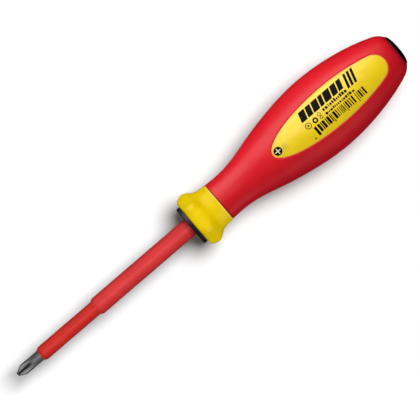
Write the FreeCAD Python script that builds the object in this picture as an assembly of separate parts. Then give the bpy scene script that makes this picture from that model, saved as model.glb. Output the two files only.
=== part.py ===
import FreeCAD, Part
import math
import os

# Insulated screwdriver for cross-recess PH1 screws, in millimetres.
# The blade's axis is the X axis and +X points to the tip. The origin is on that axis, at the
# front face of the handle. +Z points out of the label window, which is the tool's upper side.

# Blade
BLADE_LENGTH = 80.0          # from the handle's front face to the tip
SHANK_RADIUS = 2.0
TIP_FLAT_RADIUS = 0.64       # blunt end of the cross tip
TIP_HALF_ANGLE = 26.5        # degrees, slope of the wings' leading edges
FLUTE_COUNT = 4
FLUTE_LENGTH = 8.0           # the flutes run out this far behind the tip
FLUTE_ROOT = 0.45            # distance of a flute's root from the axis at the tip
FLUTE_HALF_ANGLE = 46.0      # degrees, half of the angle between a flute's flanks
FLUTE_ROOT_WIDTH = 0.24
TAIL_LENGTH = 62.0           # blade length hidden in the handle
EAR_START = -42.0            # two ears are pressed out of the hidden end
EAR_LENGTH = 12.0
EAR_SPAN = 7.4
EAR_THICKNESS = 1.8

# Insulating sleeves moulded on the blade
INNER_SLEEVE_END = 69.5      # front end, so 10.5 mm of steel stays bare
INNER_SLEEVE_RADIUS = 2.75
INNER_TAPER = 1.0            # length of the cone at the front end
OUTER_SLEEVE_END = 43.9
OUTER_SLEEVE_RADIUS = 3.4
OUTER_TAPER = 1.2
TAPER_LIP = 0.1              # wall left at the thin end of each cone
SLEEVE_TAIL = 16.0           # both sleeves run this far into the handle
OUTER_TAIL_RADIUS = 3.1      # the outer sleeve is slimmer inside the handle, behind a shoulder

# Black nose ring
RING_THICKNESS = 1.5
RING_RADIUS = 7.75
RING_EDGE_RADIUS = 0.4
RING_RELIEF_RADIUS = 3.5     # a shallow step that clears the sleeve's shoulder
RING_RELIEF_DEPTH = 0.3

# Yellow guard collar: a six-sided flange that flares down to a round neck
COLLAR_SIDES = 6
COLLAR_END = -13.3
COLLAR_BORE = 5.0
COLLAR_TAIL_RADIUS = 6.2     # the tail is the part that lies under the grip
COLLAR_TAIL_LENGTH = 4.0
# Sections from front to back: x, distance of the flats from the axis, radius of the corners
COLLAR_SECTIONS = [
    (-RING_THICKNESS, 8.3, 7.0),
    (-1.75, 8.7, 5.4),
    (-2.2, 9.0, 4.3),
    (-2.9, 9.2, 3.2),
    (-3.8, 9.36, 2.2),
    (-4.9, 9.4, 1.9),
    (-6.1, 9.3, 4.0),
    (-7.3, 8.88, 6.3),
    (-8.5, 8.33, 7.3),
    (-9.7, 8.03, 7.6),
    (-10.9, 7.9, 7.6),
    (-12.1, 7.84, 7.6),
    (COLLAR_END, 7.8, 7.6),
]

# Soft grip: x and radius from the neck to the rear shoulder
GRIP_FRONT_EDGE = 0.4        # radius of the rounded edge next to the collar
GRIP_STATIONS = [
    (COLLAR_END - GRIP_FRONT_EDGE, 7.7),
    (-20.5, 7.66),
    (-27.0, 8.6),
    (-34.0, 10.45),
    (-42.0, 12.3),
    (-52.0, 13.95),
    (-61.8, 14.57),
    (-72.0, 13.9),
    (-82.0, 12.1),
    (-91.3, 9.25),
]
GRIP_END = -95.2
SHOULDER_FULLNESS = 0.62     # how far the rear shoulder bulges before it turns in

# Hard core that the soft grip is moulded on
SKIN = 2.4                   # thickness of the grip over the core
CORE_END = -92.4
RIB_COUNT = 6
RIB_HEIGHT = 0.8
RIB_WIDTH = 3.0
RIB_START = -34.0
RIB_END = -84.0

# Black end cap
CAP_RADIUS = 6.2
CAP_DOME = 1.5
CAP_STEM_RADIUS = 3.6
CAP_STEM_LENGTH = 8.0

# Yellow window plate let into the top of the grip
WINDOW_FRONT = -38.2
WINDOW_WIDEST = -65.5
WINDOW_BACK = -90.3
WINDOW_HALF_WIDTH = 7.6
WINDOW_BACK_RADIUS = 5.2
WINDOW_RECESS = 0.1          # the plate lies this far below the grip's surface
HANDLE_TOP = 20.0            # clear above every part of the handle

# Screw-type badge at the front end of the window: a black disc with a pale cross
BADGE_X = -40.6
BADGE_RADIUS = 1.6
BADGE_DEPTH = 1.2
CROSS_SPAN = 2.3
CROSS_WIDTH = 0.46
CROSS_DEPTH = 0.5

ORIGIN = FreeCAD.Vector(0, 0, 0)
X_AXIS = FreeCAD.Vector(1, 0, 0)
Z_AXIS = FreeCAD.Vector(0, 0, 1)


def station(x, radius):
    """A point of a turned outline."""
    return FreeCAD.Vector(x, 0, radius)


def line(start, end):
    """A straight edge."""
    return Part.LineSegment(start, end).toShape()


def turned(edges):
    """The solid that a closed outline sweeps round the blade's axis."""
    outline = Part.Face(Part.Wire(Part.sortEdges(edges)[0]))
    return outline.revolve(ORIGIN, X_AXIS, 360)


def turned_polygon(corners):
    """A turned solid whose outline has only straight sides."""
    points = [station(x, radius) for x, radius in corners]
    return turned(Part.makePolygon(points + points[:1]).Edges)


def rod(front, back, radius):
    """A round rod along the blade's axis."""
    return Part.makeCylinder(radius, front - back, station(back, 0), X_AXIS)


def tube(front, back, outer, bore):
    """A round tube along the blade's axis."""
    return rod(front, back, outer).cut(rod(front, back, bore))


def grip_body(inset=0.0):
    """The round body of the handle, moved in from the grip's surface by inset."""
    side = Part.BSplineCurve()
    side.interpolate([station(x, radius - inset) for x, radius in GRIP_STATIONS])
    neck = side.StartPoint
    shoulder = side.EndPoint
    rim = station(GRIP_END + inset, CAP_RADIUS)
    slope = side.tangent(side.LastParameter)[0]
    bulge = shoulder + slope * SHOULDER_FULLNESS * (rim - shoulder).Length
    corner = Part.BezierCurve()
    corner.setPoles([shoulder, bulge, rim])
    rear_centre = station(rim.x, 0)
    front_rim = station(COLLAR_END, neck.z - GRIP_FRONT_EDGE)
    front_centre = station(COLLAR_END, 0)
    lean = GRIP_FRONT_EDGE * math.sqrt(0.5)
    edge_middle = station(neck.x + lean, front_rim.z + lean)
    return turned([
        side.toShape(),
        corner.toShape(),
        line(rim, rear_centre),
        line(rear_centre, front_centre),
        line(front_centre, front_rim),
        Part.Arc(front_rim, edge_middle, neck).toShape(),
    ])


def rounded_polygon(x, flat, corner_radius):
    """A regular polygon across the axis, with a flat facing +Z and rounded corners."""
    half_step = math.pi / COLLAR_SIDES
    tangent_shift = (flat - corner_radius) * math.tan(half_step)
    corner_centre = (flat - corner_radius) / math.cos(half_step)
    edges = []
    for side in range(COLLAR_SIDES):
        middle = 2 * half_step * side
        out = FreeCAD.Vector(0, math.sin(middle), math.cos(middle))
        along = FreeCAD.Vector(0, math.cos(middle), -math.sin(middle))
        base = station(x, 0)
        first = base + out * flat - along * tangent_shift
        last = base + out * flat + along * tangent_shift
        edges.append(line(first, last))
        turn = middle + half_step
        next_out = FreeCAD.Vector(0, math.sin(turn + half_step), math.cos(turn + half_step))
        diagonal = FreeCAD.Vector(0, math.sin(turn), math.cos(turn))
        next_along = FreeCAD.Vector(0, next_out.z, -next_out.y)
        arc_middle = base + diagonal * (corner_centre + corner_radius)
        arc_end = base + next_out * flat - next_along * tangent_shift
        edges.append(Part.Arc(last, arc_middle, arc_end).toShape())
    return Part.Wire(edges)


def flute_cutter(turn):
    """The grinding wheel's path for one flute: a thin wheel with a V edge."""
    drop = SHANK_RADIUS - FLUTE_ROOT
    wheel_radius = (FLUTE_LENGTH ** 2 + drop ** 2) / (2 * drop)
    reach = 2 * SHANK_RADIUS
    edge_half = FLUTE_ROOT_WIDTH / 2
    side_half = edge_half + reach * math.tan(math.radians(FLUTE_HALF_ANGLE))
    hub = FreeCAD.Vector(BLADE_LENGTH, 0, FLUTE_ROOT + wheel_radius)
    low = FLUTE_ROOT
    high = FLUTE_ROOT + reach
    corners = [
        FreeCAD.Vector(BLADE_LENGTH, -edge_half, low),
        FreeCAD.Vector(BLADE_LENGTH, edge_half, low),
        FreeCAD.Vector(BLADE_LENGTH, side_half, high),
        FreeCAD.Vector(BLADE_LENGTH, -side_half, high),
    ]
    face = Part.Face(Part.makePolygon(corners + corners[:1]))
    wheel = face.revolve(hub, FreeCAD.Vector(0, 1, 0), 360)
    wheel.rotate(ORIGIN, X_AXIS, turn)
    return wheel


def steel_blade():
    """The round blade with its cross tip and the ears that key it in the core."""
    cone_length = (SHANK_RADIUS - TIP_FLAT_RADIUS) / math.tan(math.radians(TIP_HALF_ANGLE))
    blade = turned_polygon([
        (-TAIL_LENGTH, 0),
        (-TAIL_LENGTH, SHANK_RADIUS),
        (BLADE_LENGTH - cone_length, SHANK_RADIUS),
        (BLADE_LENGTH, TIP_FLAT_RADIUS),
        (BLADE_LENGTH, 0),
    ])
    step = 360 / FLUTE_COUNT
    for flute in range(FLUTE_COUNT):
        blade = blade.cut(flute_cutter(step * (flute + 0.5)))
    ears = Part.makeBox(EAR_LENGTH, EAR_SPAN, EAR_THICKNESS)
    ears.translate(FreeCAD.Vector(EAR_START - EAR_LENGTH, -EAR_SPAN / 2, -EAR_THICKNESS / 2))
    ears = ears.makeChamfer(EAR_THICKNESS / 3, [e for e in ears.Edges if e.Length == EAR_THICKNESS])
    return blade.fuse(ears).removeSplitter()


def sleeve(start, end, taper, radius, bore):
    """An insulating sleeve with a cone at its front end."""
    return turned_polygon([
        (start, bore),
        (start, radius),
        (end - taper, radius),
        (end, bore + TAPER_LIP),
        (end, bore),
    ])


def inner_sleeve():
    """The thin insulation, which runs from the tip into the handle."""
    return sleeve(-SLEEVE_TAIL, INNER_SLEEVE_END, INNER_TAPER, INNER_SLEEVE_RADIUS, SHANK_RADIUS)


def outer_sleeve():
    """The thick insulation, whose shoulder rests on the nose ring."""
    tail = tube(0, -SLEEVE_TAIL, OUTER_TAIL_RADIUS, INNER_SLEEVE_RADIUS)
    body = sleeve(0, OUTER_SLEEVE_END, OUTER_TAPER, OUTER_SLEEVE_RADIUS, INNER_SLEEVE_RADIUS)
    return body.fuse(tail)


def nose_ring():
    """The black ring, with its outer edges rounded and a step round the sleeve."""
    ring = tube(0, -RING_THICKNESS, RING_RADIUS, OUTER_TAIL_RADIUS)
    ring = ring.cut(rod(0, -RING_RELIEF_DEPTH, RING_RELIEF_RADIUS))
    rims = [e for e in ring.Edges if e.BoundBox.ZMax > RING_RADIUS - 0.01 and e.BoundBox.XLength < 0.01]
    return ring.makeFillet(RING_EDGE_RADIUS, rims)


def collar_tail():
    """The round end of the collar, over which the grip is moulded."""
    return rod(COLLAR_END, COLLAR_END - COLLAR_TAIL_LENGTH, COLLAR_TAIL_RADIUS)


def guard_collar():
    """The six-sided flange, its round neck and its tail, bored for the core."""
    flange = Part.makeLoft([rounded_polygon(*section) for section in COLLAR_SECTIONS], True)
    bore = rod(-RING_THICKNESS, COLLAR_END - COLLAR_TAIL_LENGTH, COLLAR_BORE)
    return flange.fuse(collar_tail()).cut(bore)


def core_ribs():
    """Long ribs that stop the soft grip from turning on the core."""
    span = RIB_START - RIB_END
    bars = []
    for rib in range(RIB_COUNT // 2):
        bar = Part.makeBox(span, RIB_WIDTH, 2 * HANDLE_TOP)
        bar.translate(FreeCAD.Vector(RIB_END, -RIB_WIDTH / 2, -HANDLE_TOP))
        bar.rotate(ORIGIN, X_AXIS, 360 / RIB_COUNT * rib)
        bars.append(bar)
    return grip_body(SKIN - RIB_HEIGHT).common(bars[0].multiFuse(bars[1:]))


def core_blank():
    """The outside of the core, before the blade and the cap's stem are let into it."""
    nose_end = COLLAR_END - COLLAR_TAIL_LENGTH
    nose = rod(-RING_THICKNESS, nose_end, COLLAR_BORE)
    body = grip_body(SKIN).common(rod(nose_end, CORE_END, HANDLE_TOP))
    return nose.multiFuse([body, core_ribs()]).removeSplitter()


def handle_core(blank, blade):
    """The hard core, shut tight on the blade and on the inner ends of the sleeves."""
    core = blank.cut(rod(0, -SLEEVE_TAIL, OUTER_TAIL_RADIUS))
    core = core.cut(blade)
    return core.cut(rod(CORE_END + CAP_STEM_LENGTH, CORE_END, CAP_STEM_RADIUS))


def end_cap():
    """The domed cap, with the stem that is pressed into the core."""
    stem_end = CORE_END + CAP_STEM_LENGTH
    dome_radius = (CAP_RADIUS ** 2 + CAP_DOME ** 2) / (2 * CAP_DOME)
    half_turn = math.asin(CAP_RADIUS / dome_radius) / 2
    dome_centre = GRIP_END - CAP_DOME + dome_radius
    rim = station(GRIP_END, CAP_RADIUS)
    crown = station(GRIP_END - CAP_DOME, 0)
    middle = station(dome_centre - dome_radius * math.cos(half_turn), dome_radius * math.sin(half_turn))
    shoulder = station(CORE_END, CAP_RADIUS)
    stem_root = station(CORE_END, CAP_STEM_RADIUS)
    stem_tip = station(stem_end, CAP_STEM_RADIUS)
    stem_centre = station(stem_end, 0)
    return turned([
        Part.Arc(crown, middle, rim).toShape(),
        line(rim, shoulder),
        line(shoulder, stem_root),
        line(stem_root, stem_tip),
        line(stem_tip, stem_centre),
        line(stem_centre, crown),
    ])


def window_block():
    """A tall block over the window's teardrop outline: half an ellipse, two long arcs, a round end."""
    end_x = WINDOW_BACK + WINDOW_BACK_RADIUS
    run = WINDOW_WIDEST - end_x
    side_radius = (run ** 2 + WINDOW_HALF_WIDTH ** 2 - WINDOW_BACK_RADIUS ** 2)
    side_radius = side_radius / (2 * (WINDOW_HALF_WIDTH - WINDOW_BACK_RADIUS))
    turn = math.asin(run / (side_radius - WINDOW_BACK_RADIUS))
    side_centre = WINDOW_HALF_WIDTH - side_radius
    half_x = WINDOW_WIDEST - side_radius * math.sin(turn / 2)
    half_y = side_centre + side_radius * math.cos(turn / 2)
    join_x = WINDOW_WIDEST - side_radius * math.sin(turn)
    join_y = side_centre + side_radius * math.cos(turn)
    wide = FreeCAD.Vector(WINDOW_WIDEST, WINDOW_HALF_WIDTH, 0)
    half = FreeCAD.Vector(half_x, half_y, 0)
    join = FreeCAD.Vector(join_x, join_y, 0)
    back = FreeCAD.Vector(WINDOW_BACK, 0, 0)
    front_half = Part.Ellipse(
        FreeCAD.Vector(WINDOW_FRONT, 0, 0), wide, FreeCAD.Vector(WINDOW_WIDEST, 0, 0))
    outline = Part.Wire(Part.sortEdges([
        Part.ArcOfEllipse(front_half, -math.pi / 2, math.pi / 2).toShape(),
        Part.Arc(wide, half, join).toShape(),
        Part.Arc(join, back, mirrored(join)).toShape(),
        Part.Arc(mirrored(join), mirrored(half), mirrored(wide)).toShape(),
    ])[0])
    return Part.Face(outline).extrude(Z_AXIS * HANDLE_TOP)


def mirrored(point):
    """The same point on the other side of the tool's middle plane."""
    return FreeCAD.Vector(point.x, -point.y, point.z)


def badge_cross():
    """The pale cross, with one bar along the blade and one across it."""
    bars = []
    for length, width in ((CROSS_SPAN, CROSS_WIDTH), (CROSS_WIDTH, CROSS_SPAN)):
        bar = Part.makeBox(length, width, HANDLE_TOP)
        bar.translate(FreeCAD.Vector(BADGE_X - length / 2, -width / 2, 0))
        bars.append(bar)
    cross = bars[0].fuse(bars[1]).removeSplitter()
    return cross.common(grip_body()).cut(grip_body(CROSS_DEPTH))


def badge_disc(cross):
    """The black disc round the cross, level with the grip's surface."""
    centre = FreeCAD.Vector(BADGE_X, 0, 0)
    disc = Part.makeCylinder(BADGE_RADIUS, HANDLE_TOP, centre, Z_AXIS)
    return disc.common(grip_body()).cut(grip_body(BADGE_DEPTH)).cut(cross)


def window_plate(blank, badge):
    """The yellow plate, which fills the window from the core to just under the grip's surface."""
    return window_block().common(grip_body(WINDOW_RECESS)).cut(blank).cut(badge)


def grip_shell(blank, cap):
    """The soft grip with its window and the openings for the collar's tail and the end cap."""
    return grip_body().cut(blank.multiFuse([collar_tail(), cap])).cut(window_block())


def build_parts():
    """Every separate piece of the screwdriver, by name."""
    blade = steel_blade()
    blank = core_blank()
    cap = end_cap()
    cross = badge_cross()
    disc = badge_disc(cross)
    return {
        "steel_blade": blade,
        "inner_sleeve": inner_sleeve(),
        "outer_sleeve": outer_sleeve(),
        "nose_ring": nose_ring(),
        "guard_collar": guard_collar(),
        "handle_core": handle_core(blank, blade),
        "grip_shell": grip_shell(blank, cap),
        "window_plate": window_plate(blank, disc.fuse(cross)),
        "badge_disc": disc,
        "badge_cross": cross,
        "end_cap": cap,
    }


def export_parts(parts):
    """Writes one STEP file for each piece."""
    os.makedirs("parts", exist_ok=True)
    for name, shape in parts.items():
        if len(shape.Solids) != 1 or not shape.isValid():
            raise ValueError(name + " is not one sound solid")
        shape.Solids[0].exportStep("parts/" + name + ".step")
        print(name, round(shape.Volume, 1), "cubic mm")


export_parts(build_parts())
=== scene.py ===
import math
import random

import bmesh
import bpy
from bpy.props import FloatProperty, FloatVectorProperty, PointerProperty
from bpy.types import Operator, Panel, PropertyGroup
from mathutils import Matrix, Vector
from mathutils.bvhtree import BVHTree


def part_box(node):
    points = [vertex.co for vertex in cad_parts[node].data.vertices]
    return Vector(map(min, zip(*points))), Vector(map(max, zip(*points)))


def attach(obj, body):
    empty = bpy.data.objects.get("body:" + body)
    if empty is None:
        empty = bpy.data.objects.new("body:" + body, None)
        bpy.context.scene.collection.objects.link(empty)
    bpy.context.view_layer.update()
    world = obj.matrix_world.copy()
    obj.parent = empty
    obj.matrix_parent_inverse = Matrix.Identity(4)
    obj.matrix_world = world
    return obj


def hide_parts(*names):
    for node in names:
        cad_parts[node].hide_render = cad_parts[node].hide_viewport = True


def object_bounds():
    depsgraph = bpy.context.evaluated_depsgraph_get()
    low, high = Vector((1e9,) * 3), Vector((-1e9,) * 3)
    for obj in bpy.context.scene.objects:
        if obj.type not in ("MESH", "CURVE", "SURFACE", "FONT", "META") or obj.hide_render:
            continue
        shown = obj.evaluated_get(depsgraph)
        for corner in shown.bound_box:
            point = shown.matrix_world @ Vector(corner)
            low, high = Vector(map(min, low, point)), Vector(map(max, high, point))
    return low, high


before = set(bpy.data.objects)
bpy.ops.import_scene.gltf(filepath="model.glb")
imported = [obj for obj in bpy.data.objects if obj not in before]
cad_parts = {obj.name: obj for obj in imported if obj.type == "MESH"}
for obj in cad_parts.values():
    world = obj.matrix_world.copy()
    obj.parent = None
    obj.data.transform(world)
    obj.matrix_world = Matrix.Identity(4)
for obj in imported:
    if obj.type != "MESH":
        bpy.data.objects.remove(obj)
CAD_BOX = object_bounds()

bl_info = {
    "name": "Insulated Screwdriver",
    "version": (1, 0, 0),
    "blender": (4, 5, 0),
    "location": "3D View > Sidebar > Screwdriver",
    "description": "Builds the sleeves, handle, label and finishes of an insulated screwdriver",
    "category": "Object",
}

MM = 0.001
BODY = "root"

# Places read off the frame, in metres. The blade lies along X and its tip points to +X.
BLADE_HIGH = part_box("steel_blade")[1]
INNER_LOW, INNER_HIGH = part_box("inner_sleeve")
OUTER_LOW, OUTER_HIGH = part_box("outer_sleeve")
RING_LOW, RING_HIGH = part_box("nose_ring")
COLLAR_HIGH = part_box("guard_collar")[1]
GRIP_LOW, GRIP_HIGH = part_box("grip_shell")
PLATE_LOW, PLATE_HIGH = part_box("window_plate")
DISC_LOW, DISC_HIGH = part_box("badge_disc")
CROSS_LOW, CROSS_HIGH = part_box("badge_cross")
CAP_LOW, CAP_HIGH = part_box("end_cap")
OBJECT_LOW, OBJECT_HIGH = CAD_BOX


# ---------------------------------------------------------------- sizes and colours to change

def length(name, description, default):
    """A length in metres that a user can change."""
    return FloatProperty(name=name, description=description, default=default, min=0.0,
                         unit="LENGTH", precision=5)


def colour(name, description, default):
    """A colour that a user can change."""
    return FloatVectorProperty(name=name, description=description, default=default,
                               subtype="COLOR", size=3, min=0.0, max=1.0)


def power(name, default, description="Power in watts"):
    """A lamp's power that a user can change."""
    return FloatProperty(name=name, description=description, default=default, min=0.0)


class ScrewdriverSizes(PropertyGroup):
    """Small sizes that the frame doesn't give."""
    edge: length("Edge", "Radius of the small moulded edges", 0.35 * MM)
    taper: length("Taper", "Length of the cone at a sleeve's front end", 1.1 * MM)
    grip_depth: length("Grip depth", "Thickness of the soft grip", 2.2 * MM)
    plate_recess: length("Plate recess", "How far the label plate lies below the grip", 0.1 * MM)
    plate_back_radius: length("Plate back radius", "Radius of the plate's round rear end", 5.2 * MM)
    plate_widest: FloatProperty(
        name="Plate widest", description="Where the plate is widest, as a share of its length",
        default=0.524, min=0.1, max=0.9, subtype="FACTOR")
    ink: length("Ink", "Thickness of the printing on the plate", 0.03 * MM)


class ScrewdriverColours(PropertyGroup):
    """Colours of the finishes, as linear values."""
    front_red: colour("Front sleeve", "Insulation next to the tip", (0.82, 0.033, 0.022))
    rear_red: colour("Rear sleeve", "Insulation next to the handle", (0.88, 0.046, 0.047))
    grip_red: colour("Grip", "Soft grip", (0.84, 0.008, 0.020))
    collar_yellow: colour("Collar", "Guard collar", (0.86, 0.61, 0.0))
    plate_yellow: colour("Plate", "Label plate", (1.0, 0.70, 0.004))
    black: colour("Black", "End cap", (0.006, 0.006, 0.007))
    ring_grey: colour("Ring", "Nose ring", (0.015, 0.016, 0.022))
    ink_black: colour("Ink", "Printing and badge", (0.006, 0.005, 0.005))
    cream: colour("Cream", "Cross of the badge", (0.88, 0.86, 0.66))
    steel: colour("Steel", "Bare end of the blade", (0.170, 0.163, 0.160))
    core_grey: colour("Core", "Hidden core", (0.05, 0.05, 0.055))


class ScrewdriverStage(PropertyGroup):
    """Floor, lights and camera."""
    view_width: length("View width", "Width of the camera's view at the blade's axis", 0.1479)
    view_turn: FloatProperty(
        name="View turn", description="How far the blade is turned from the picture's width",
        default=math.radians(40.65), subtype="ANGLE", unit="ROTATION")
    view_middle: FloatVectorProperty(
        name="View middle", description="The point in the middle of the view", size=2,
        default=(-9.1 * MM, 0.1 * MM), subtype="XYZ", unit="LENGTH")
    lens: FloatProperty(name="Lens", description="Focal length in millimetres", default=900.0)
    key_power: power("Key light", 2.3)
    side_power: power("Side light", 1.3)
    top_power: power("Top light", 1.2)
    room_power: power("Room light", 0.55, "Watts per square metre")
    plate_power: power("Plate light", 0.5)
    blade_power: power("Blade light", 1.68)
    edge_power: power("Edge light", 0.4)
    collar_power: power("Collar light", 0.5)
    bounce_power: power("Bounce light", 0.08)
    floor_power: power("Floor light", 5.65, "Watts per square metre")


# ---------------------------------------------------------------- meshes

class SmoothCurve:
    """A smooth curve through stations, read as a function of place."""

    def __init__(self, places, values):
        self.places = list(places)
        self.values = list(values)
        count = len(self.places)
        gaps = [b - a for a, b in zip(self.places, self.places[1:])]
        bends = [0.0] * count
        share = [0.0] * count
        for i in range(1, count - 1):
            slope_step = ((self.values[i + 1] - self.values[i]) / gaps[i]
                          - (self.values[i] - self.values[i - 1]) / gaps[i - 1])
            weight = 2 * (gaps[i] + gaps[i - 1]) - gaps[i - 1] * share[i - 1]
            share[i] = gaps[i] / weight
            bends[i] = (6 * slope_step - gaps[i - 1] * bends[i - 1]) / weight
        for i in range(count - 2, 0, -1):
            bends[i] -= share[i] * bends[i + 1]
        self.bends = bends

    def __call__(self, place):
        last = len(self.places) - 2
        i = 0
        while i < last and place > self.places[i + 1]:
            i += 1
        gap = self.places[i + 1] - self.places[i]
        after = (place - self.places[i]) / gap
        before = 1 - after
        bend = (before ** 3 - before) * self.bends[i] + (after ** 3 - after) * self.bends[i + 1]
        return before * self.values[i] + after * self.values[i + 1] + bend * gap * gap / 6


def node_tree_of(node):
    """A search tree of a frame node's faces, to read its shape from."""
    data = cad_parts[node].data
    corners = [v.co for v in data.vertices]
    return BVHTree.FromPolygons(corners, [tuple(p.vertices) for p in data.polygons])


def radius_of(tree, x, angle):
    """How far a node's surface is from the blade's axis at x, at an angle from straight up."""
    out = Vector((0, math.sin(angle), math.cos(angle)))
    far = Vector((x, 0, 0)) + out * OBJECT_HIGH.y * 3
    hit = tree.ray_cast(far, -out)[0]
    if hit is None:
        raise ValueError("the frame has no surface at x = %.5f" % x)
    return math.hypot(hit.y, hit.z)


def around(x, radius, angle):
    """A point at a radius round the blade's axis, at an angle from straight up."""
    return Vector((x, radius * math.sin(angle), radius * math.cos(angle)))


def hoop(x, radius, angles):
    """Points round the blade's axis at one place along it."""
    return [around(x, radius, angle) for angle in angles]


def full_turn(count):
    """Evenly spaced angles once round."""
    return [2 * math.pi * i / count for i in range(count)]


def steps(start, end, count):
    """Evenly spaced values from start to end, both included."""
    return [start + (end - start) * i / count for i in range(count + 1)]


def quarter(count):
    """Shares of a rounded edge's radius, along it and inwards, at each step after the first."""
    return [(math.sin(a), 1 - math.cos(a)) for a in steps(0, math.pi / 2, count)[1:]]


def add_object(name, mesh_builder, material, sharp_angle=50.0):
    """Turns a bmesh into a named object with one material and clean smooth shading."""
    bmesh.ops.remove_doubles(mesh_builder, verts=mesh_builder.verts, dist=1e-7)
    bmesh.ops.recalc_face_normals(mesh_builder, faces=mesh_builder.faces)
    data = bpy.data.meshes.new(name)
    mesh_builder.to_mesh(data)
    mesh_builder.free()
    for face in data.polygons:
        face.use_smooth = True
    data.set_sharp_from_angle(angle=math.radians(sharp_angle))
    data.materials.append(material)
    made = bpy.data.objects.new(name, data)
    bpy.context.scene.collection.objects.link(made)
    return made


def place(made, slot, *nodes):
    """Says which body a piece rides on and which frame nodes it replaces. The slot is not used."""
    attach(made, BODY)
    if nodes:
        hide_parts(*nodes)
    return made


def bridge(builder, first, second, closed=True):
    """Faces between two rows of vertices with the same count."""
    count = len(first)
    for i in range(count if closed else count - 1):
        j = (i + 1) % count
        corners = []
        for vert in (first[i], first[j], second[j], second[i]):
            if vert not in corners:
                corners.append(vert)
        if len(corners) > 2:
            builder.faces.new(corners)


def ring_solid(rings, looped=False):
    """A closed mesh through rings of points. A ring of one point is a pole."""
    builder = bmesh.new()
    rows = [[builder.verts.new(point) for point in ring] for ring in rings]
    width = max(len(row) for row in rows)
    rows = [row * width if len(row) == 1 else row for row in rows]
    for first, second in zip(rows, rows[1:]):
        bridge(builder, first, second)
    if looped:
        bridge(builder, rows[-1], rows[0])
    return builder


def round_corners(corners, radii, count=5):
    """An open outline of (x, radius) points with its inner corners rounded."""
    path = [Vector(corners[0])]
    for before, corner, after, radius in zip(corners, corners[1:], corners[2:], radii):
        middle = Vector(corner)
        back = (Vector(before) - middle).normalized()
        ahead = (Vector(after) - middle).normalized()
        half = back.angle(ahead) / 2
        if radius == 0 or half > math.radians(89):
            path.append(middle)
            continue
        reach = radius / math.tan(half)
        centre = middle + (back + ahead).normalized() * (radius / math.sin(half))
        first = middle + back * reach - centre
        last = middle + ahead * reach - centre
        turn = first.angle_signed(last)
        for share in steps(0, 1, count):
            path.append(centre + Matrix.Rotation(-turn * share, 2) @ first)
    path.append(Vector(corners[-1]))
    return path


def densify(path, longest):
    """Adds points on the long straight stretches of an outline."""
    dense = [path[0]]
    for before, after in zip(path, path[1:]):
        count = max(1, math.ceil((after - before).length / longest))
        dense.extend(before.lerp(after, share) for share in steps(0, 1, count)[1:])
    return dense


def lathe(outline, count, looped=False):
    """A turned mesh from an outline of (x, radius) points."""
    rings = []
    for x, radius in outline:
        if radius < 1e-9:
            rings.append([Vector((x, 0, 0))])
        else:
            rings.append(hoop(x, radius, full_turn(count)))
    return ring_solid(rings, looped)


# ---------------------------------------------------------------- the handle's surface

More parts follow.
